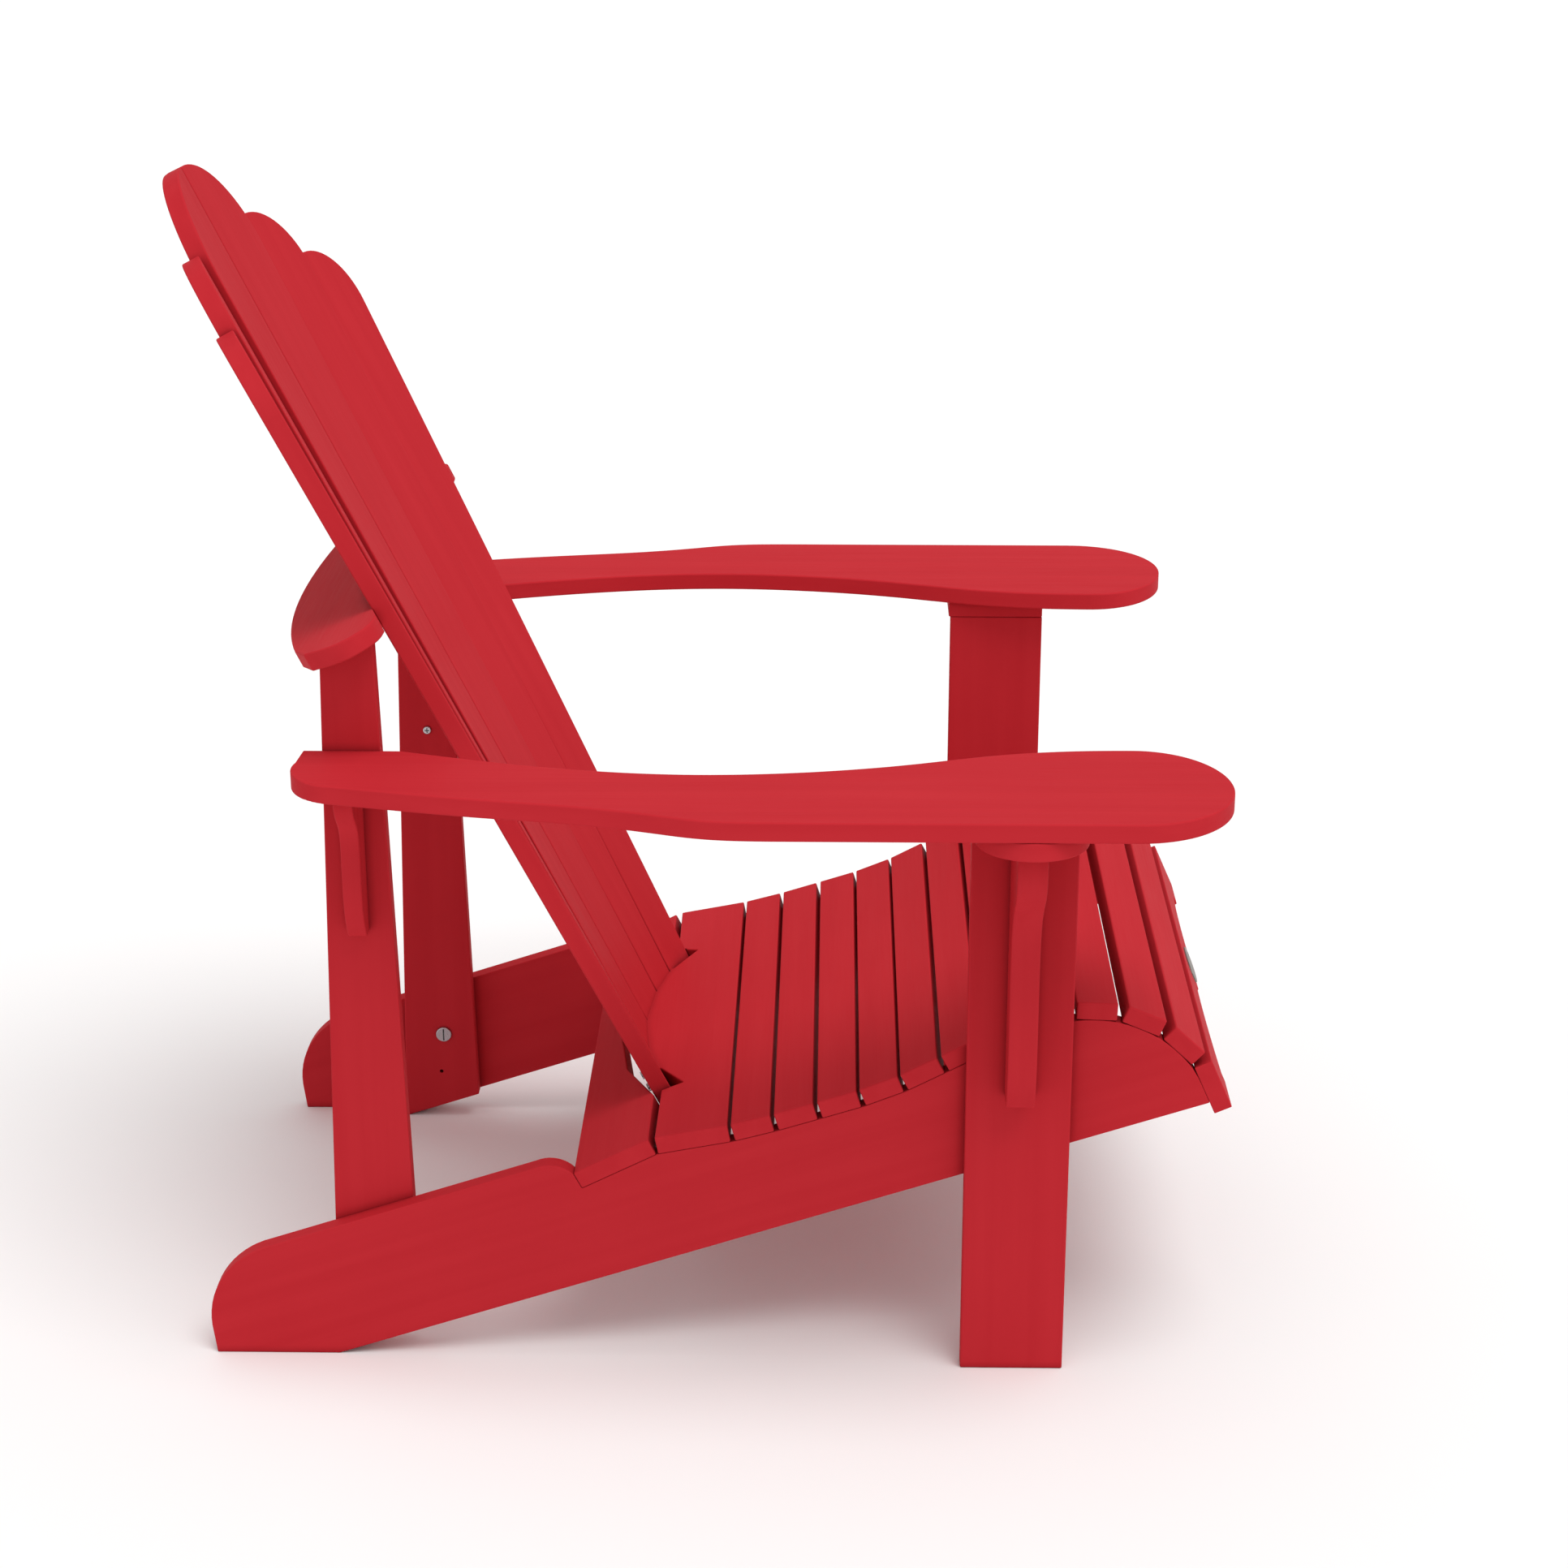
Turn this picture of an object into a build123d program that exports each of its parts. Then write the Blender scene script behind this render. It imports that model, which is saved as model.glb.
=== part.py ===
"""Adirondack chair of 16.5 mm poly-lumber boards, in millimetres.

The chair faces -Y, X runs across it and Z is up. While the parts are shaped, Y is counted
backwards from the tip of the arms; place() then moves the origin to the floor under the middle.
Left and right are the sitter's: left is +X.
"""
import os
from math import atan, cos, radians, sin

from build123d import *

# Boards
BOARD = 16.5
EDGE_ROUND = 1.5
SEAT_HALF = 260.0
RAIL_IN = SEAT_HALF - BOARD
POST_IN = RAIL_IN - BOARD
LEG_OUT = SEAT_HALF + BOARD
CENTRE_Y = 449.4

# Side rails: a straight plank that slopes down to a flat rear foot
RAIL_SLOPE = 0.332
FOOT_FRONT_Y = 778.5
FOOT_BACK_Y = 890.0
HEEL = [(893.5, 28.0), (881.0, 77.0), (836.0, 109.4)]
BUMP = [(595.0, 189.7), (579.0, 192.4), (560.3, 183.4)]
RAIL_ROUND = 1.0
RAIL_NOSE_ROUND = 90.0
RAIL_NOSE_CORNERS = [9, 10, 11, 12]

# Seat boards, each on its own facet of the rail's top edge, from the back to the front
SEAT_BACK = (485.6, 204.5)
REAR_BOARD_WIDTH = 76.0
REAR_BOARD_TILT = 27.0
REAR_BOARD_GAP = 1.0
FIRST_BOARD_GAP = 0.8
FIRST_FACET = 68.7
FACET = 40.3
SLAT_GAP = 4.3
FACET_TILTS = [11.0, 15.4, 17.7, 17.9, 22.3, 27.9, 28.0, 28.0, 20.0, -2.0, -23.0, -43.0]
APRON_TILT = -66.0
APRON_WIDTH = 48.4
APRON_GAP = 1.5
APRON_ROUND = 1.0

# Openings that let the back slats through the seat
NOTCH_TIP = (153.5, 467.0)
NOTCH_BACK = (163.0, 487.0)
TONGUE_CORNER = (116.0, 490.0)
TONGUE_REACH = 45.0
TONGUE_REAR_HALF = 100.0
SCALLOP = [(168.0, REAR_BOARD_GAP), (83.5, 34.0), (0.0, 46.0)]

# Apron: two scooped stretches between the end pads and the middle tab
APRON_PAD = 208.0
APRON_TAB = 30.0
APRON_TAB_LIFT = 11.0
APRON_SCOOP = [(208.0, 9.0), (115.0, 19.0), (30.0, 16.0)]
BADGE_LENGTH = 62.0
BADGE_HEIGHT = 27.0
BADGE_THICK = 1.2
BADGE_RISE = 1.0
BADGE_ROUND = 0.5

# Front legs, rear posts
LEG_FRONT_Y = 121.5
LEG_WIDTH = 92.0
LEG_MID_Y = LEG_FRONT_Y + LEG_WIDTH / 2
POST_MID_Y = 742.5
POST_HALF_FOOT = 39.1
POST_TAPER = 0.0244

# Arms
ARM_TOP = 578.0
ARM_UNDER = ARM_TOP - BOARD
PLATE_UNDER = ARM_UNDER - BOARD
PLATE_WIDTH = 94.0
PLATE_MID_Y = LEG_FRONT_Y + PLATE_WIDTH / 2
ARM_EDGE = 411.0
TIP_INNER = 232.0
TIP_INNER_DEPTH = 76.0
TIP_OUTER_DEPTH = 86.0
ARM_INNER = [(RAIL_IN, 700.0), (278.0, 588.0), (298.0, 450.0), (271.5, 271.0),
             (TIP_INNER, TIP_INNER_DEPTH)]
ARM_INNER_LEAN = (0.35, -1.0)
ARM_OUTER = [(ARM_EDGE, 375.0), (406.0, 440.0), (389.0, 493.0), (364.0, 607.0), (332.0, 750.0)]
ARM_OUTER_LEAN = (-0.24, 1.0)
ARM_END = (292.0, 786.5)
ARM_END_INNER_Y = 783.5

# Brackets under the arms: (reach, height) points down the free edge
FRONT_BRACKET_THICK = 25.0
FRONT_BRACKET = [(93.0, 545.0), (88.0, 495.0), (52.0, 460.0), (38.5, 416.0), (38.5, 350.0),
                 (24.0, 273.0)]
REAR_BRACKET = [(57.0, 561.5), (53.0, 537.0), (36.0, 517.0), (32.0, 490.0), (31.0, 450.0),
                (14.0, 412.0)]

# Back: three slats each side of the middle, fanned and set in a shallow curve. Each tapers
# downwards and stands back from its inner neighbour by a step that grows up the back
RECLINE = atan(0.4855)
BACK_FOOT = Vector(0, 513.8, 225.6)
SLAT_FOOT_WIDTHS = [66.2, 45.9, 52.0]
SLAT_SPREADS = [0.0404, 0.0430, 0.0282]
SLAT_STEPS = [0.0, 0.0079, 0.0049]
SLAT_TURNS = [4.9, 13.5, 15.3]
SLAT_TOPS = [898.0, 831.0, 770.0]
SLAT_CORNERS = [92.0, 70.0, 64.0]
SLAT_BOTTOM = -44.0
BACK_GAP = 1.5
UP_BACK = Vector(0, sin(RECLINE), cos(RECLINE))
OUT_BACK = Vector(0, -cos(RECLINE), sin(RECLINE))

# Upper brace: a half-moon board square to the slats, resting on the posts
BRACE_TOP = 515.0
BRACE_REAR = 87.5
BRACE_CHEEK = [(248.0, -26.5), (277.0, -19.0), (286.5, 4.0), (271.0, 36.0), (241.0, 53.0)]
BRACE_CHEEK_LEAN = (-1.0, 0.5)

# Fasteners
BOLT_HEAD = 16.0
BOLT_SHANK = 6.4
BOLT_HEAD_THICK = 3.0
BOLT_HEAD_ROUND = 0.9
BOLT_SLOT = (12.8, 1.4, 2.0)
BOLT_LENGTH = 29.0
SCREW_HEAD = 8.0
SCREW_SHANK = 4.0
SCREW_HEAD_THICK = 2.2
SCREW_HEAD_ROUND = 0.66
SCREW_CROSS = (4.8, 1.0, 2.2)
DOWEL = 6.0
DOWEL_IN_BOARD = 9.0
DOWEL_LENGTH = 24.0
POST_BOLT_Y = 738.5
POST_BOLT_Z = 95.0
PILOT_HOLE_Z = 51.5
PILOT_HOLE = 4.0
SCREW_LENGTH = 32.5
REAR_SCREW_Z = [433.0, 515.0]
FRONT_SCREW_Z = 360.0
LEG_BOLTS = [(148.0, 238.0), (187.0, 272.0)]
PLATE_SCREW_SPREAD = 25.0
ARM_SCREW_X = 345.0
ARM_SCREW_SPREAD = 30.0
ARM_SCREW_LENGTH = 28.5
REAR_ARM_SCREW_SPREAD = 15.0
FIRST_SLAT_DOWELS = [15.0, 52.0]
REAR_BOARD_DOWELS = [18.0, 58.0]
APRON_DOWELS = [-12.0, -28.0]
POST_DOWEL_SPREAD = 11.0
BACK_DOWEL_SHARES = [0.25, 0.75]
LOWER_SCREW_SHARES = [0.5, 0.5, 0.115]
LOWER_SCREW_DROP = 2.0

os.makedirs("parts", exist_ok=True)


def place(shape):
    """Move a shape from the arm-tip datum to the origin under the middle of the chair."""
    return Pos(0, -CENTRE_Y, 0) * shape


def soften(solid, radius=EDGE_ROUND):
    """Round every edge of a board a little."""
    return fillet(solid.edges(), radius)


def upright(outline, x_from, thickness):
    """A board standing in the YZ plane, from x_from towards +X."""
    return extrude(Plane.YZ.offset(x_from) * outline, thickness)


def mirrored(shape):
    return mirror(shape, about=Plane.YZ)


def on_both_sides(shapes):
    return shapes + [mirrored(shape) for shape in shapes]


def along(point, tilt, distance):
    """Step forwards from a (y, z) point along a facet that rises by tilt degrees."""
    angle = radians(tilt)
    return (point[0] - distance * cos(angle), point[1] + distance * sin(angle))


def outline(*edges):
    return make_face(Wire(list(edges)))


def pin(diameter, length):
    return Cylinder(diameter / 2, length, align=(Align.CENTER, Align.CENTER, Align.MIN))


def stepped(head, head_thick, shank, length):
    """A head and its shank along +Z: the head ends at z = 0, where the shank starts."""
    return Pos(0, 0, -head_thick) * pin(head, head_thick) + pin(shank, length)


def bolt_bore():
    return stepped(BOLT_HEAD, BOLT_HEAD_THICK, BOLT_SHANK, BOLT_LENGTH)


def slotted_bolt():
    """Flat round head with one straight slot."""
    bolt = bolt_bore()
    bolt = fillet(bolt.edges().group_by(Axis.Z)[0], BOLT_HEAD_ROUND)
    return bolt - Pos(0, 0, -BOLT_HEAD_THICK) * Box(*BOLT_SLOT)


def screw_bore(length):
    return stepped(SCREW_HEAD, SCREW_HEAD_THICK, SCREW_SHANK, length)


def cross_screw(length):
    """Small round head with a cross recess."""
    screw = screw_bore(length)
    screw = fillet(screw.edges().group_by(Axis.Z)[0], SCREW_HEAD_ROUND)
    bar = Box(*SCREW_CROSS)
    return screw - Pos(0, 0, -SCREW_HEAD_THICK) * (bar + Rot(0, 0, 90) * bar)


def at(spots, tool):
    """Copies of a +Z tool, one at each (origin, direction) spot."""
    return [Plane(origin=origin, z_dir=direction) * tool for origin, direction in spots]


# Facets of the rail's top edge
facet_points = [SEAT_BACK]
for index, tilt in enumerate(FACET_TILTS):
    length = FIRST_FACET if index == 0 else FACET
    facet_points.append(along(facet_points[-1], tilt, length))
apron_top = facet_points[-1]
rail_back_notch = along(SEAT_BACK, REAR_BOARD_TILT, -REAR_BOARD_WIDTH)


def rail_under(y):
    """Height of the rail's straight lower edge."""
    return (FOOT_FRONT_Y - y) * RAIL_SLOPE


def rail_front_foot():
    """Where the line behind the apron meets the rail's lower edge."""
    run = (apron_top[1] - rail_under(apron_top[0])) / (
        sin(radians(-APRON_TILT)) + RAIL_SLOPE * cos(radians(APRON_TILT)))
    return along(apron_top, APRON_TILT, run)


def side_rail():
    under = [apron_top, rail_front_foot(), (FOOT_FRONT_Y, 0), (FOOT_BACK_Y, 0), HEEL[0]]
    top = [BUMP[-1], rail_back_notch] + facet_points
    edges = [Line(a, b) for a, b in zip(under, under[1:])]
    edges.append(ThreePointArc(*HEEL))
    edges.append(Line(HEEL[-1], BUMP[0]))
    edges.append(ThreePointArc(*BUMP))
    edges += [Line(a, b) for a, b in zip(top, top[1:])]
    face = outline(*edges)
    for corner in RAIL_NOSE_CORNERS:
        vertex = face.vertices().sort_by_distance((*facet_points[corner], 0))[0]
        face = fillet(vertex, RAIL_NOSE_ROUND)
    return soften(upright(face, RAIL_IN, BOARD), RAIL_ROUND)


def front_leg():
    box = Box(BOARD, LEG_WIDTH, PLATE_UNDER, align=(Align.MIN, Align.MIN, Align.MIN))
    return soften(Pos(SEAT_HALF, LEG_FRONT_Y, 0) * box)


def rear_post():
    """Tapered post: its foot follows the rail's lower edge and its top carries the brace."""
    tall = BACK_FOOT.Z + BRACE_TOP
    foot, head = POST_HALF_FOOT, POST_HALF_FOOT - POST_TAPER * tall
    corners = [(POST_MID_Y - foot, 0), (POST_MID_Y + foot, 0),
               (POST_MID_Y + head, tall), (POST_MID_Y - head, tall)]
    blank = upright(make_face(Polyline(*corners, close=True)), POST_IN, BOARD)
    rail_line = Plane(origin=(0, FOOT_FRONT_Y, 0), x_dir=(1, 0, 0), z_dir=(0, RAIL_SLOPE, 1))
    blank = split(blank, bisect_by=rail_line, keep=Keep.TOP)
    return soften(split(blank, bisect_by=brace_plane(BRACE_TOP - BOARD), keep=Keep.BOTTOM))


def arm():
    """Wide round paddle in front, waist, and a narrow end beside the post."""
    inner_rear = (RAIL_IN, ARM_END_INNER_Y)
    tip_half = (ARM_EDGE - TIP_INNER) / 2
    tip_x = TIP_INNER + tip_half
    outer_end = (ARM_EDGE, TIP_OUTER_DEPTH)
    face = outline(
        Line(inner_rear, ARM_INNER[0]),
        Spline(*ARM_INNER, tangents=[ARM_INNER_LEAN, (0, -1)]),
        EllipticalCenterArc((tip_x, TIP_INNER_DEPTH), tip_half, TIP_INNER_DEPTH,
                            start_angle=180, arc_size=90),
        EllipticalCenterArc((tip_x, TIP_OUTER_DEPTH), tip_half, TIP_OUTER_DEPTH,
                            start_angle=270, arc_size=90),
        Line(outer_end, ARM_OUTER[0]),
        Spline(*ARM_OUTER, tangents=[(0, 1), ARM_OUTER_LEAN]),
        TangentArc(ARM_OUTER[-1], ARM_END, tangent=ARM_OUTER_LEAN),
        Line(ARM_END, inner_rear),
    )
    return soften(extrude(Pos(0, 0, ARM_UNDER) * face, BOARD))


def arm_plate():
    """Round-ended board on top of the leg, under the arm."""
    half = PLATE_WIDTH / 2
    centre_x = ARM_EDGE - half
    low, high = PLATE_MID_Y - half, PLATE_MID_Y + half
    face = outline(
        Line((SEAT_HALF, high), (SEAT_HALF, low)),
        Line((SEAT_HALF, low), (centre_x, low)),
        ThreePointArc((centre_x, low), (ARM_EDGE, PLATE_MID_Y), (centre_x, high)),
        Line((centre_x, high), (SEAT_HALF, high)),
    )
    return soften(extrude(Pos(0, 0, PLATE_UNDER) * face, BOARD))


def bracket(back_x, profile, y_from, thickness):
    """Curved bracket standing square to a post or leg, shaped by its free edge."""
    free_edge = [(back_x + reach, height) for reach, height in profile]
    top, foot = profile[0][1], profile[-1][1]
    face = outline(
        Line((back_x, top), free_edge[0]),
        Spline(*free_edge),
        Line(free_edge[-1], (back_x, foot)),
        Line((back_x, foot), (back_x, top)),
    )
    return soften(extrude(Plane.XZ.offset(-y_from) * face, -thickness))


def front_arm_bracket():
    y_from = LEG_MID_Y - FRONT_BRACKET_THICK / 2
    return bracket(LEG_OUT, FRONT_BRACKET, y_from, FRONT_BRACKET_THICK)


def rear_arm_bracket():
    return bracket(RAIL_IN, REAR_BRACKET, POST_MID_Y - BOARD / 2, BOARD)


def facet_plane(index):
    """Plane of a seat board's underside: local X across the chair, local Y forwards."""
    y, z = facet_points[index]
    angle = radians(FACET_TILTS[index])
    return Plane(origin=(0, y, z), x_dir=(-1, 0, 0), z_dir=(0, sin(angle), cos(angle)))


def seat_slat(index):
    width = FACET - SLAT_GAP
    blank = Box(2 * SEAT_HALF, width, BOARD, align=(Align.CENTER, Align.MIN, Align.MIN))
    return soften(facet_plane(index) * Pos(0, SLAT_GAP / 2, 0) * blank)


def across(turn):
    """Direction across a back slat that is turned towards the sitter."""
    angle = radians(turn)
    return Vector(cos(angle), 0, 0) + OUT_BACK * sin(angle)


def slat_width(index, height):
    return SLAT_FOOT_WIDTHS[index] + SLAT_SPREADS[index] * height


def inner_edge(index, height):
    """Point on the front inner edge of a left-hand back slat, at a height up the back."""
    point = BACK_FOOT + UP_BACK * height
    for inner in range(index):
        point += across(SLAT_TURNS[inner]) * slat_width(inner, height)
        point -= OUT_BACK * (SLAT_STEPS[inner + 1] * height)
    return point


def back_plane(index):
    """Front face of a left-hand back slat, its origin on the inner edge."""
    x_dir = across(SLAT_TURNS[index])
    run = inner_edge(index, 100) - inner_edge(index, 0)
    return Plane(origin=inner_edge(index, 0), x_dir=x_dir, z_dir=x_dir.cross(run))


def back_slat(index):
    """Tapered slat with its outer top corner rounded off."""
    plane = back_plane(index)
    half_gap = BACK_GAP / 2
    inner, outer = [], []
    for height in (SLAT_BOTTOM, SLAT_TOPS[index]):
        edge = plane.to_local_coords(inner_edge(index, height))
        inner.append((edge.X + half_gap, edge.Y))
        outer.append((edge.X + slat_width(index, height) - half_gap, edge.Y))
    face = make_face(Polyline(inner[0], outer[0], outer[1], inner[1], close=True))
    corner = face.vertices().sort_by_distance((*outer[1], 0))[0]
    return soften(extrude(plane * fillet(corner, SLAT_CORNERS[index]), -BOARD))


def behind_slat(index):
    """Everything behind a back slat's front face near the seat, to bevel the seat tongue."""
    reach = 2 * TONGUE_REACH
    slab = Box(2 * SLAT_FOOT_WIDTHS[index], reach, reach,
               align=(Align.CENTER, Align.CENTER, Align.MAX))
    return back_plane(index) * slab


def on_first_facet(x, y):
    """Local coordinates on the first seat board's plane of a point at (x, y) on its top."""
    tilt = radians(FACET_TILTS[0])
    run = (SEAT_BACK[0] - y + BOARD * sin(tilt)) / cos(tilt)
    return (-x, run)


def seat_tongue_slat():
    """First seat board: a tongue fills the curve of the back between two notches."""
    front = FIRST_FACET - SLAT_GAP / 2
    half = [
        (-SEAT_HALF, front),
        (-SEAT_HALF, FIRST_BOARD_GAP),
        on_first_facet(*NOTCH_BACK),
        on_first_facet(*NOTCH_TIP),
        on_first_facet(*TONGUE_CORNER),
        (-TONGUE_REAR_HALF, -TONGUE_REACH),
    ]
    other = [(-x, y) for x, y in reversed(half)]
    board = extrude(facet_plane(0) * make_face(Polyline(*half, *other, close=True)), BOARD)
    return soften(board) - on_both_sides([behind_slat(index) for index in range(3)])


def rear_board_plane():
    """Plane of the rear seat board's underside: local X across, local Y down to the rear."""
    angle = radians(REAR_BOARD_TILT)
    y, z = SEAT_BACK
    return Plane(origin=(0, y, z), x_dir=(1, 0, 0), z_dir=(0, sin(angle), cos(angle)))


def rear_seat_board():
    """Sloping board behind the back slats, its front edge cut away to follow them."""
    half = [(SEAT_HALF, REAR_BOARD_WIDTH), (SEAT_HALF, REAR_BOARD_GAP)] + SCALLOP
    other = [(-x, y) for x, y in reversed(half[:-1])]
    face = make_face(Polyline(*half, *other, close=True))
    return soften(extrude(rear_board_plane() * face, BOARD))


def apron_plane():
    """Rear face of the apron: local X across the chair, local Y up the board."""
    angle = radians(APRON_TILT)
    y, z = apron_top
    return Plane(origin=(0, y, z), x_dir=(1, 0, 0), z_dir=(0, sin(angle), cos(angle)))


def front_apron():
    plane = apron_plane()
    top = -APRON_GAP
    foot = top - APRON_WIDTH
    edges = [Line((-SEAT_HALF, top), (SEAT_HALF, top))]
    for side in (1, -1):
        scoop = [(side * x, foot + lift) for x, lift in APRON_SCOOP]
        edges.append(Line((side * SEAT_HALF, top), (side * SEAT_HALF, foot)))
        edges.append(Line((side * SEAT_HALF, foot), (side * APRON_PAD, foot)))
        edges.append(Line((side * APRON_PAD, foot), scoop[0]))
        edges.append(ThreePointArc(*scoop))
        edges.append(Line(scoop[-1], (side * APRON_TAB, foot + APRON_TAB_LIFT)))
    tab = foot + APRON_TAB_LIFT
    edges.append(Line((-APRON_TAB, tab), (APRON_TAB, tab)))
    return soften(extrude(plane * outline(*edges), BOARD), APRON_ROUND)


def badge():
    """Plain oval plate on the front of the apron's middle tab."""
    plane = apron_plane()
    middle = BADGE_RISE - APRON_GAP - APRON_WIDTH / 2
    oval = Pos(0, middle) * Ellipse(BADGE_LENGTH / 2, BADGE_HEIGHT / 2)
    plate = extrude(plane.offset(BOARD) * oval, BADGE_THICK)
    return fillet(plate.edges().sort_by(Axis.Y)[0], BADGE_ROUND)


def brace_plane(height):
    """Plane square to the back: local X across, local Y to the rear."""
    return Plane(origin=BACK_FOOT + UP_BACK * height, x_dir=(1, 0, 0), z_dir=UP_BACK)


def hollow_of_back(setback):
    """All the space on the sitter's side of the back, from a depth behind its front face."""
    reach = 4 * BRACE_TOP
    hollow = Box(reach, reach, reach)
    for index in range(3):
        block = Box(reach, reach, reach, align=(Align.CENTER, Align.CENTER, Align.MIN))
        block = back_plane(index).offset(-setback) * block
        hollow = hollow & block & mirrored(block)
    return hollow


def upper_back_brace():
    """Half-moon board: cut in front to fit the slats, round cheeks, bowed rear edge."""
    first, last = BRACE_CHEEK[0], BRACE_CHEEK[-1]
    edges = [ThreePointArc(last, (0, BRACE_REAR), (-last[0], last[1]))]
    for side in (1, -1):
        edges.append(Line((0, first[1]), (side * first[0], first[1])))
        lean = (side * BRACE_CHEEK_LEAN[0], BRACE_CHEEK_LEAN[1])
        cheek = [(side * x, y) for x, y in BRACE_CHEEK]
        edges.append(Spline(*cheek, tangents=[(side, 0), lean]))
    board = soften(extrude(brace_plane(BRACE_TOP) * outline(*edges), -BOARD))
    slats = [back_slat(index) for index in range(3)]
    return board - hollow_of_back(BOARD) - on_both_sides(slats)


def dowels_into_rail(plane, x, runs):
    """Hidden dowels from a board down into the left rail, one per run along the board."""
    sunk = Pos(0, 0, DOWEL_IN_BOARD - DOWEL_LENGTH)
    return [plane * Pos(x, run) * sunk * pin(DOWEL, DOWEL_LENGTH) for run in runs]


def dowels_into_brace(index):
    """Hidden dowels from a back slat's rear face into the upper brace."""
    plane = back_plane(index)
    inner = plane.to_local_coords(inner_edge(index, BRACE_TOP - BOARD / 2))
    sunk = Pos(0, 0, DOWEL_IN_BOARD - BOARD - DOWEL_LENGTH)
    runs = [inner.X + share * slat_width(index, BRACE_TOP) for share in BACK_DOWEL_SHARES]
    return [plane * Pos(run, inner.Y) * sunk * pin(DOWEL, DOWEL_LENGTH) for run in runs]


def dowels_into_post():
    """Hidden dowels from the upper brace down into the top of the left post."""
    plane = brace_plane(BRACE_TOP - BOARD)
    centre = (POST_MID_Y - plane.origin.Y) / UP_BACK.Z
    sunk = Pos(0, 0, DOWEL_IN_BOARD - DOWEL_LENGTH)
    return [plane * Pos(POST_IN + BOARD / 2, centre + side * POST_DOWEL_SPREAD) * sunk
            * pin(DOWEL, DOWEL_LENGTH) for side in (-1, 1)]


def lower_back_spot(index):
    """Where a screw enters a slat's rear face, aimed at the edge of the seat tongue."""
    slat = back_plane(index)
    tongue = facet_plane(0).offset(BOARD / 2 - LOWER_SCREW_DROP)
    start = slat.origin + slat.x_dir * (LOWER_SCREW_SHARES[index] * SLAT_FOOT_WIDTHS[index])
    fall = (tongue.origin - start).dot(tongue.z_dir) / slat.y_dir.dot(tongue.z_dir)
    return (start + slat.y_dir * fall - slat.z_dir * BOARD, slat.z_dir)


# Where the fasteners of the left-hand side go: (origin, direction)
outwards, down, up = (1, 0, 0), (0, 0, -1), (0, 0, 1)
rail_mid = RAIL_IN + BOARD / 2
post_bolt_spots = [((POST_IN, POST_BOLT_Y, POST_BOLT_Z), outwards)]
leg_bolt_spots = [((RAIL_IN, y, z), outwards) for y, z in LEG_BOLTS]
rear_bracket_spots = [((POST_IN, POST_MID_Y, z), outwards) for z in REAR_SCREW_Z]
front_bracket_spots = [((SEAT_HALF, LEG_MID_Y, FRONT_SCREW_Z), outwards)]
plate_spots = []
arm_spots = []
rear_arm_spots = []
for side in (-1, 1):
    plate_y = LEG_MID_Y + side * PLATE_SCREW_SPREAD
    arm_y = LEG_MID_Y + side * ARM_SCREW_SPREAD
    post_y = POST_MID_Y + side * REAR_ARM_SCREW_SPREAD
    plate_spots.append(((SEAT_HALF + BOARD / 2, plate_y, ARM_UNDER - SCREW_HEAD_THICK), down))
    arm_spots.append(((ARM_SCREW_X, arm_y, PLATE_UNDER), up))
    rear_arm_spots.append(((POST_IN, post_y, ARM_UNDER + BOARD / 2), outwards))
back_spots = [lower_back_spot(index) for index in range(3)]
pilot_spots = [((POST_IN, POST_MID_Y, PILOT_HOLE_Z), outwards)]

slat_dowels = []
for index in range(len(FACET_TILTS)):
    runs = FIRST_SLAT_DOWELS if index == 0 else [FACET / 2]
    slat_dowels.append(dowels_into_rail(facet_plane(index), -rail_mid, runs))
rear_board_dowels = dowels_into_rail(rear_board_plane(), rail_mid, REAR_BOARD_DOWELS)
apron_dowels = dowels_into_rail(apron_plane(), rail_mid, APRON_DOWELS)
seat_dowels = sum(slat_dowels, []) + rear_board_dowels + apron_dowels
back_dowels = [dowels_into_brace(index) for index in range(3)]
post_dowels = dowels_into_post()

# Bores of the left-hand side, the same size as the fasteners in them
post_bolt_bores = at(post_bolt_spots, bolt_bore())
leg_bolt_bores = at(leg_bolt_spots, bolt_bore())
rear_bracket_bores = at(rear_bracket_spots, screw_bore(SCREW_LENGTH))
front_bracket_bores = at(front_bracket_spots, screw_bore(SCREW_LENGTH))
plate_bores = at(plate_spots, screw_bore(SCREW_LENGTH))
arm_bores = at(arm_spots, screw_bore(ARM_SCREW_LENGTH))
rear_arm_bores = at(rear_arm_spots, screw_bore(SCREW_LENGTH))
back_bores = at(back_spots, screw_bore(SCREW_LENGTH))
pilot_holes = at(pilot_spots, pin(PILOT_HOLE, BOARD))

left_side = {
    "side_rail": side_rail() - post_bolt_bores - leg_bolt_bores - seat_dowels,
    "front_leg": front_leg() - leg_bolt_bores - front_bracket_bores - plate_bores,
    "rear_post": rear_post() - post_bolt_bores - rear_bracket_bores - rear_arm_bores
    - pilot_holes - post_dowels,
    "arm": arm() - arm_bores - rear_arm_bores,
    "arm_plate": arm_plate() - plate_bores - arm_bores,
    "front_arm_bracket": front_arm_bracket() - front_bracket_bores,
    "rear_arm_bracket": rear_arm_bracket() - rear_bracket_bores,
}

nodes = {}
for name, solid in left_side.items():
    nodes["left_" + name] = solid
    nodes["right_" + name] = mirrored(solid)

nodes["seat_slat_01"] = seat_tongue_slat() - on_both_sides(slat_dowels[0] + back_bores)
for index in range(1, len(FACET_TILTS)):
    nodes[f"seat_slat_{index + 1:02d}"] = seat_slat(index) - on_both_sides(slat_dowels[index])
nodes["rear_seat_board"] = rear_seat_board() - on_both_sides(rear_board_dowels)
nodes["front_apron"] = front_apron() - on_both_sides(apron_dowels)
nodes["badge"] = badge()
nodes["upper_back_brace"] = upper_back_brace() - on_both_sides(sum(back_dowels, []) + post_dowels)

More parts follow.
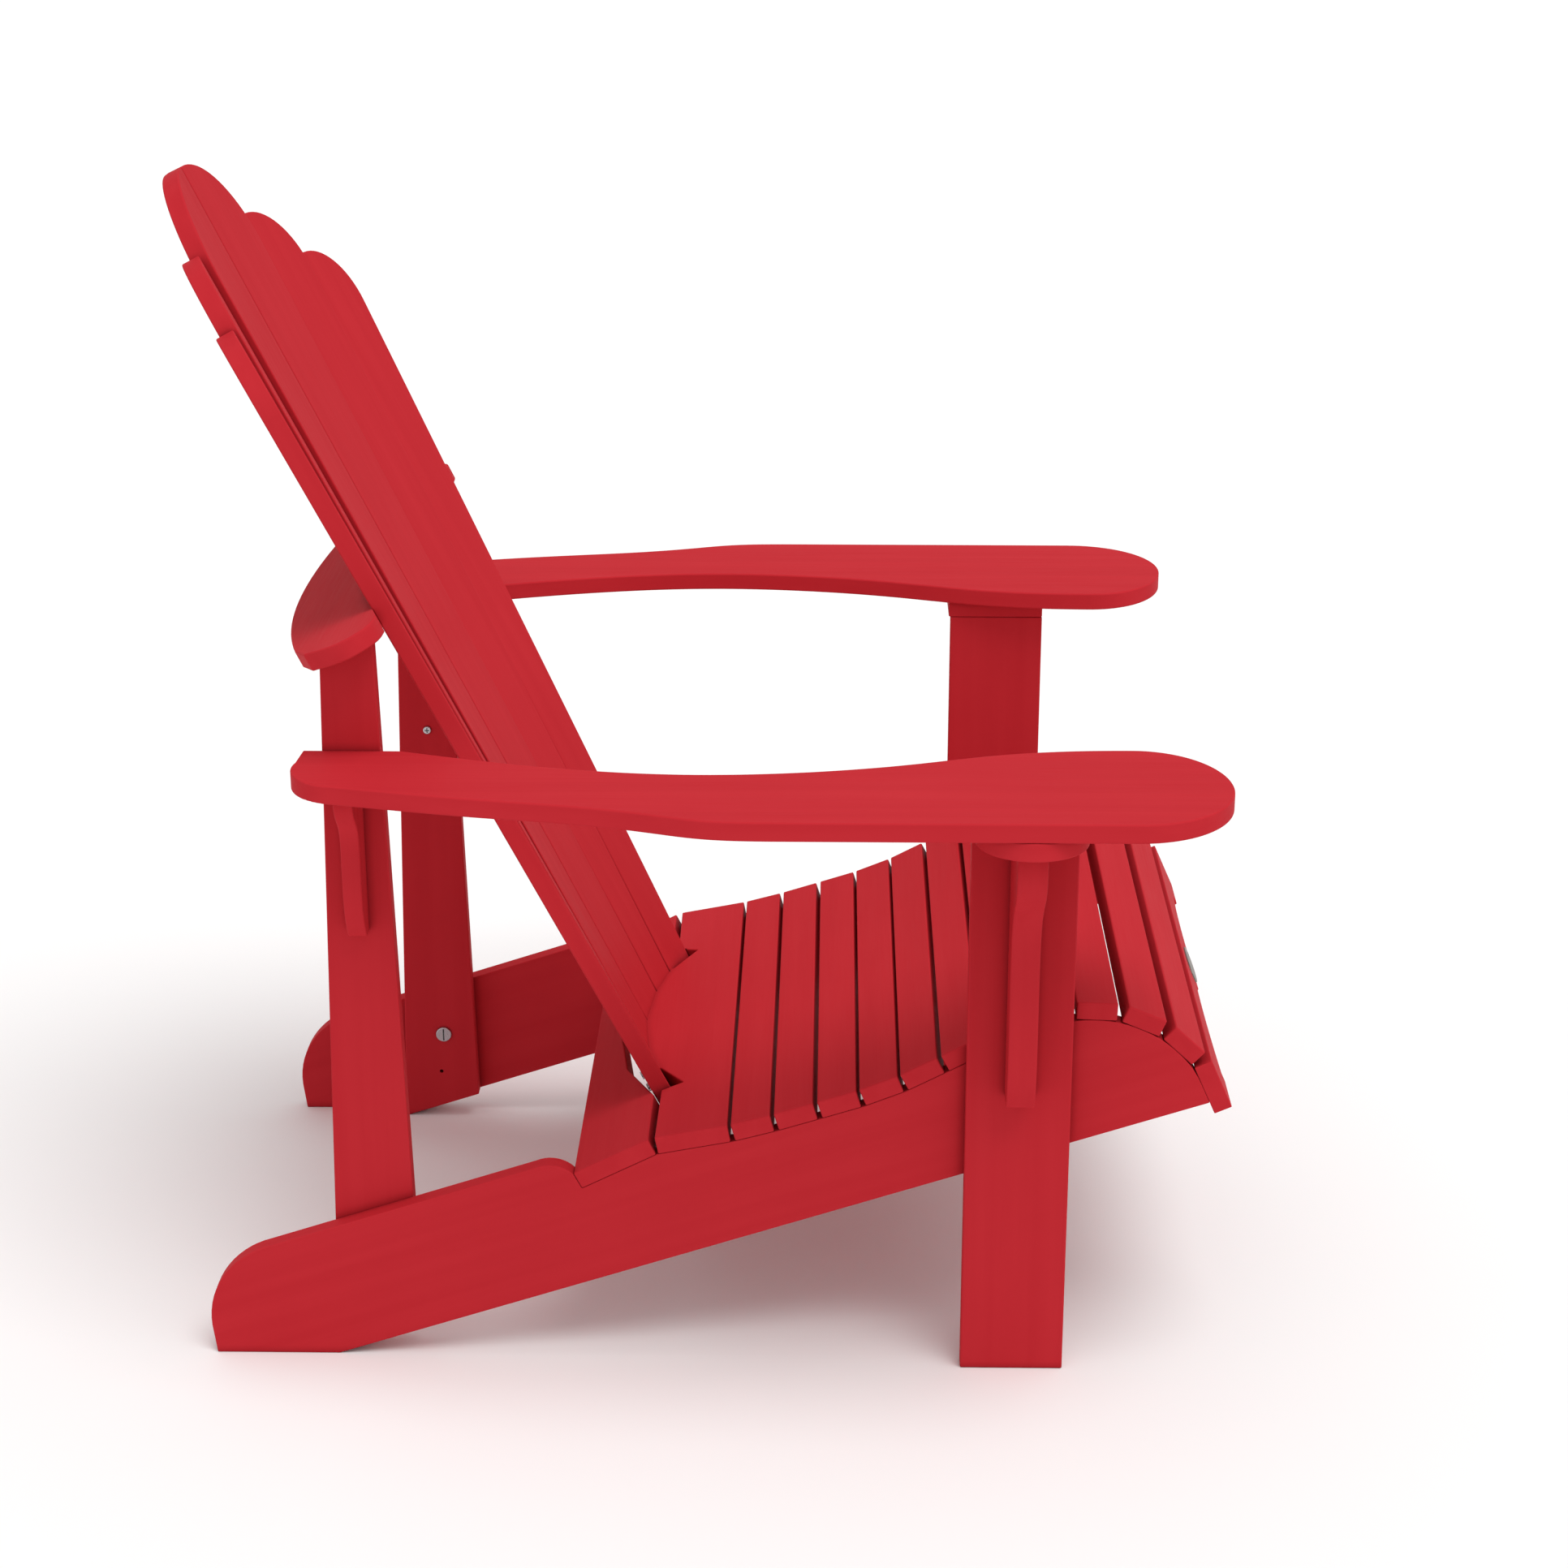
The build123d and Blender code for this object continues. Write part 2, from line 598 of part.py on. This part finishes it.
for index in range(3):
    slat = back_slat(index) - back_dowels[index] - back_bores[index]
    nodes[f"back_slat_{4 + index}"] = slat
    nodes[f"back_slat_{3 - index}"] = mirrored(slat)

fasteners = {
    "post_bolts": at(post_bolt_spots, slotted_bolt()),
    "leg_bolts": at(leg_bolt_spots, slotted_bolt()),
    "rear_bracket_screws": at(rear_bracket_spots, cross_screw(SCREW_LENGTH)),
    "front_bracket_screws": at(front_bracket_spots, cross_screw(SCREW_LENGTH)),
    "arm_plate_screws": at(plate_spots, cross_screw(SCREW_LENGTH)),
    "arm_screws": at(arm_spots, cross_screw(ARM_SCREW_LENGTH)),
    "rear_arm_screws": at(rear_arm_spots, cross_screw(SCREW_LENGTH)),
    "lower_back_screws": at(back_spots, cross_screw(SCREW_LENGTH)),
    "seat_dowels": seat_dowels,
    "back_dowels": sum(back_dowels, []),
    "post_dowels": post_dowels,
}
for name, left in fasteners.items():
    nodes[name] = Compound([piece.solid() for piece in on_both_sides(left)])

for name, shape in nodes.items():
    export_step(place(shape), f"parts/{name}.step")
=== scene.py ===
"""Looks, light and camera for the red adirondack chair. The chair faces -Y and Z is up."""
from math import cos, radians, sin

import bpy
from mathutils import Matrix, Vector

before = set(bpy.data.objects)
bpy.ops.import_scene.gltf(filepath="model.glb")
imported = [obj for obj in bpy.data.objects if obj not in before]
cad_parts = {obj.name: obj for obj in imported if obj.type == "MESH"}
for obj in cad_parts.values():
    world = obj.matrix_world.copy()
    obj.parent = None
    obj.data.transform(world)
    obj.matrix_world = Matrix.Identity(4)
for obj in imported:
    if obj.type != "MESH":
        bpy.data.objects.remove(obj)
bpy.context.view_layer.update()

# How far the back leans from upright and the rails slope from level, in degrees
RECLINE = 25.9
RAIL_SLOPE = 18.4

# How much the boards' streaks are drawn out, and the widths of the rubbed edges with their
# painted highlight, of the painted shade beside joints and of that in the screws' slots, in metres
GRAIN_SQUEEZE = 0.035
RUBBED_EDGE_AND_HIGHLIGHT = 0.0020
JOINT_SHADE = 0.012
SLOT_SHADE = 0.003

# Camera on the chair's right: place in metres, angle below level and angle from +X in
# radians, lens and sensor in millimetres
CAMERA_PLACE = (-2.69975, -0.1170, 1.4532)
CAMERA_PITCH = 0.3524
CAMERA_YAW = 0.0166
CAMERA_LENS = 70.37
CAMERA_SENSOR = 36.0

# Soft overhead light: the way it travels, its strength and its apparent width in degrees
LIGHT_RUN = (0.32, 0.28, -1.0)
LIGHT_STRENGTH = 1.56
LIGHT_WIDTH = 36.0

# Strength of the white surround, and half the floor's width in metres
SURROUND_STRENGTH = 0.72
FLOOR_REACH = 30.0


def colour(red, green, blue):
    return (red, green, blue, 1.0)


class Nodes:
    """A material's node tree, with short ways to add and join nodes."""

    def __init__(self, name):
        self.material = bpy.data.materials.new(name)
        self.material.use_nodes = True
        self.tree = self.material.node_tree
        self.shader = self.tree.nodes["Principled BSDF"]

    def add(self, kind, **settings):
        node = self.tree.nodes.new("ShaderNode" + kind)
        for key, value in settings.items():
            setattr(node, key, value)
        return node

    def join(self, source, target):
        self.tree.links.new(source, target)

    def stretch(self, vector, scale):
        """The same coordinates, each times its factor: under 1 draws a pattern out that way."""
        node = self.add("Mapping", vector_type="POINT")
        node.inputs["Scale"].default_value = scale
        self.join(vector, node.inputs["Vector"])
        return node.outputs["Vector"]

    def noise(self, vector, scale, detail=4.0, roughness=0.5):
        node = self.add("TexNoise")
        node.inputs["Scale"].default_value = scale
        node.inputs["Detail"].default_value = detail
        node.inputs["Roughness"].default_value = roughness
        self.join(vector, node.inputs["Vector"])
        return node.outputs["Fac"]

    def span(self, value, low, high, to_low, to_high):
        """Carry low..high over to to_low..to_high, and hold still outside it."""
        node = self.add("MapRange", clamp=True)
        for socket, number in zip(node.inputs[1:5], (low, high, to_low, to_high)):
            socket.default_value = number
        self.join(value, node.inputs["Value"])
        return node.outputs["Result"]

    def maths(self, operation, first, second):
        node = self.add("Math", operation=operation)
        for socket, value in zip(node.inputs, (first, second)):
            if isinstance(value, float):
                socket.default_value = value
            else:
                self.join(value, socket)
        return node.outputs["Value"]

    def blend(self, factor, first, second):
        """The first colour at factor 0, the second at factor 1."""
        node = self.add("Mix", data_type="RGBA")
        self.join(factor, node.inputs["Factor"])
        for socket, value in ((node.inputs[6], first), (node.inputs[7], second)):
            if isinstance(value, tuple):
                socket.default_value = value
            else:
                self.join(value, socket)
        return node.outputs[2]

    def edges(self, radius):
        """1 along the sharp edges of a piece, 0 on its flats."""
        bevel = self.add("Bevel", samples=6)
        bevel.inputs["Radius"].default_value = radius
        flat = self.add("NewGeometry")
        dot = self.add("VectorMath", operation="DOT_PRODUCT")
        self.join(bevel.outputs["Normal"], dot.inputs[0])
        self.join(flat.outputs["Normal"], dot.inputs[1])
        return self.span(dot.outputs["Value"], 0.995, 0.8, 0.0, 1.0)

    def recesses(self, reach, own=True):
        """1 on open faces, falling to 0 in a piece's own recesses and, unless own, at its joints; a
        mask for painted shade.
        """
        shade = self.add("AmbientOcclusion", samples=8, only_local=own)
        shade.inputs["Distance"].default_value = reach
        return shade.outputs["AO"]

    def bump(self, height, strength, distance):
        """Raise the surface where height is large, by up to distance in metres."""
        node = self.add("Bump")
        node.inputs["Strength"].default_value = strength
        node.inputs["Distance"].default_value = distance
        self.join(height, node.inputs["Height"])
        self.join(node.outputs["Normal"], self.shader.inputs["Normal"])


def lumber(name, turn, axis="X"):
    """Satin red plastic board: faint lengthwise streaks, mottling, fine bump, edges paler from
    rubbing and a painted highlight, and painted shade at joints. The turn, in degrees about the
    axis, brings the grain onto Z."""
    n = Nodes(name)
    place = n.add("TexCoord").outputs["Object"]
    shift = n.add("VectorMath", operation="ADD")
    n.join(place, shift.inputs[0])
    n.join(n.add("ObjectInfo").outputs["Random"], shift.inputs[1])
    grain = n.add("Mapping", vector_type="POINT")
    grain.inputs["Rotation"].default_value["XYZ".index(axis)] = radians(turn)
    n.join(shift.outputs[0], grain.inputs["Vector"])
    along = n.stretch(grain.outputs[0], (1.0, 1.0, GRAIN_SQUEEZE))

    streaks = n.noise(along, 420.0, 5.0, 0.6)
    bands = n.noise(along, 60.0, 3.0)
    mottle = n.noise(shift.outputs[0], 9.0, 3.0)
    specks = n.noise(shift.outputs[0], 900.0, 2.0)

    body = n.blend(n.span(bands, 0.35, 0.65, 0.0, 1.0),
                   colour(0.497, 0.0222, 0.0308), colour(0.521, 0.0252, 0.0342))
    body = n.blend(n.span(mottle, 0.3, 0.7, 0.0, 0.35), body, colour(0.473, 0.0204, 0.0286))
    body = n.blend(n.span(streaks, 0.60, 0.78, 0.0, 0.16), body, colour(0.430, 0.0174, 0.0246))
    # Paler rims: partly rubbed wear, partly a painted highlight along the edges where light catches
    # them.
    rim_wear_and_highlight = n.edges(RUBBED_EDGE_AND_HIGHLIGHT)
    body = n.blend(n.maths("MULTIPLY", rim_wear_and_highlight, 0.35), body, colour(0.60, 0.046, 0.058))
    # Painted shade: the board turns deep red beside joints and in crevices between pieces, where
    # shade falls.
    body = n.blend(n.span(n.recesses(JOINT_SHADE, own=False), 0.25, 0.85, 0.0, 1.0),
                   colour(0.26, 0.0090, 0.0130), body)
    n.join(body, n.shader.inputs["Base Color"])

    gloss = n.span(streaks, 0.3, 0.7, 0.50, 0.60)
    gloss = n.maths("SUBTRACT", gloss, n.maths("MULTIPLY", rim_wear_and_highlight, 0.08))
    n.join(gloss, n.shader.inputs["Roughness"])
    n.shader.inputs["Specular IOR Level"].default_value = 0.015

    height = n.maths("ADD", n.maths("MULTIPLY", streaks, 0.6), n.maths("MULTIPLY", specks, 0.4))
    n.bump(height, 0.10, 0.0004)
    return n.material


def steel():
    """Turned satin steel with fine random scratches and painted shade in its recesses."""
    n = Nodes("turned_steel")
    place = n.add("TexCoord").outputs["Object"]
    fine = n.noise(place, 2600.0, 3.0)
    cloud = n.noise(place, 160.0, 3.0)
    body = n.blend(cloud, colour(0.42, 0.42, 0.44), colour(0.58, 0.58, 0.60))
    # Painted shade: near black in the screws' slots and other hollows of a head.
    body = n.blend(n.span(n.recesses(SLOT_SHADE), 0.55, 0.95, 0.0, 1.0),
                   colour(0.02, 0.02, 0.02), body)
    n.join(body, n.shader.inputs["Base Color"])
    n.join(n.span(fine, 0.3, 0.7, 0.24, 0.42), n.shader.inputs["Roughness"])
    n.shader.inputs["Metallic"].default_value = 1.0
    n.bump(fine, 0.15, 0.0001)
    return n.material


def badge_plate():
    """Grey-brown metal, brushed across, brighter where its edge has rubbed."""
    n = Nodes("brushed_badge")
    place = n.add("TexCoord").outputs["Object"]
    lines = n.noise(n.stretch(place, (0.02, 1.0, 1.0)), 1800.0, 3.0)
    body = n.blend(lines, colour(0.13, 0.105, 0.09), colour(0.21, 0.18, 0.155))
    body = n.blend(n.edges(0.0012), body, colour(0.42, 0.39, 0.36))
    n.join(body, n.shader.inputs["Base Color"])
    n.join(n.span(lines, 0.3, 0.7, 0.34, 0.5), n.shader.inputs["Roughness"])
    n.shader.inputs["Metallic"].default_value = 0.85
    return n.material


def dowel_wood():
    """Pale ribbed beech, hidden between the boards."""
    n = Nodes("dowel_beech")
    place = n.add("TexCoord").outputs["Object"]
    grain = n.noise(place, 900.0, 4.0)
    n.join(n.blend(grain, colour(0.50, 0.32, 0.17), colour(0.66, 0.47, 0.28)),
           n.shader.inputs["Base Color"])
    n.join(n.span(grain, 0.3, 0.7, 0.6, 0.75), n.shader.inputs["Roughness"])
    return n.material


def dress(node, material):
    """Put a material in every slot of a CAD node."""
    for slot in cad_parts[node].material_slots:
        slot.material = material


across = lumber("red_lumber_across", 90.0, "Y")
lengthwise = lumber("red_lumber_lengthwise", 90.0)
sloping = lumber("red_lumber_sloping", RAIL_SLOPE - 90.0)
upright = lumber("red_lumber_upright", 0.0)
reclined = lumber("red_lumber_reclined", RECLINE)
metal = steel()
wood = dowel_wood()
plate = badge_plate()

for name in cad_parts:
    if name.endswith(("_bolts", "_screws")):
        dress(name, metal)
    elif name.endswith("_dowels"):
        dress(name, wood)
    elif name == "badge":
        dress(name, plate)
    elif name.endswith(("_arm", "_arm_plate")):
        dress(name, lengthwise)
    elif name.endswith("_side_rail"):
        dress(name, sloping)
    elif name.startswith("back_slat"):
        dress(name, reclined)
    elif name.endswith(("_leg", "_post", "_bracket")):
        dress(name, upright)
    else:
        dress(name, across)


def floor():
    """A wide pale floor."""
    mesh = bpy.data.meshes.new("floor")
    corners = [(FLOOR_REACH * x, FLOOR_REACH * y, 0.0)
               for x, y in ((-1, -1), (1, -1), (1, 1), (-1, 1))]
    mesh.from_pydata(corners, [], [(0, 1, 2, 3)])
    ground = bpy.data.objects.new("floor", mesh)
    bpy.context.collection.objects.link(ground)
    n = Nodes("studio_floor")
    place = n.add("TexCoord").outputs["Object"]
    n.join(n.blend(n.noise(place, 0.8, 2.0), colour(0.90, 0.895, 0.89), colour(0.92, 0.918, 0.915)),
           n.shader.inputs["Base Color"])
    n.shader.inputs["Roughness"].default_value = 0.9
    n.shader.inputs["Specular IOR Level"].default_value = 0.1
    mesh.materials.append(n.material)


def studio():
    """An even white surround and a wide soft light from above, in front and on the right."""
    world = bpy.data.worlds.new("studio")
    world.use_nodes = True
    bpy.context.scene.world = world
    background = world.node_tree.nodes["Background"]
    background.inputs["Color"].default_value = (1.0, 1.0, 1.0, 1.0)
    background.inputs["Strength"].default_value = SURROUND_STRENGTH
    lamp = bpy.data.lights.new("overhead", "SUN")
    lamp.energy = LIGHT_STRENGTH
    lamp.angle = radians(LIGHT_WIDTH)
    piece = bpy.data.objects.new("overhead", lamp)
    piece.rotation_euler = Vector(LIGHT_RUN).to_track_quat("-Z", "Y").to_euler()
    bpy.context.collection.objects.link(piece)
    bpy.context.scene.view_settings.view_transform = "Standard"


def camera():
    """A camera on the chair's right, looking across it and down at about 20 degrees."""
    data = bpy.data.cameras.new("camera")
    data.sensor_width = CAMERA_SENSOR
    data.lens = CAMERA_LENS
    piece = bpy.data.objects.new("camera", data)
    piece.location = CAMERA_PLACE
    ahead = Vector((cos(CAMERA_PITCH) * cos(CAMERA_YAW),
                    cos(CAMERA_PITCH) * sin(CAMERA_YAW), -sin(CAMERA_PITCH)))
    piece.rotation_euler = ahead.to_track_quat("-Z", "Y").to_euler()
    bpy.context.collection.objects.link(piece)
    bpy.context.scene.camera = piece


floor()
studio()
camera()
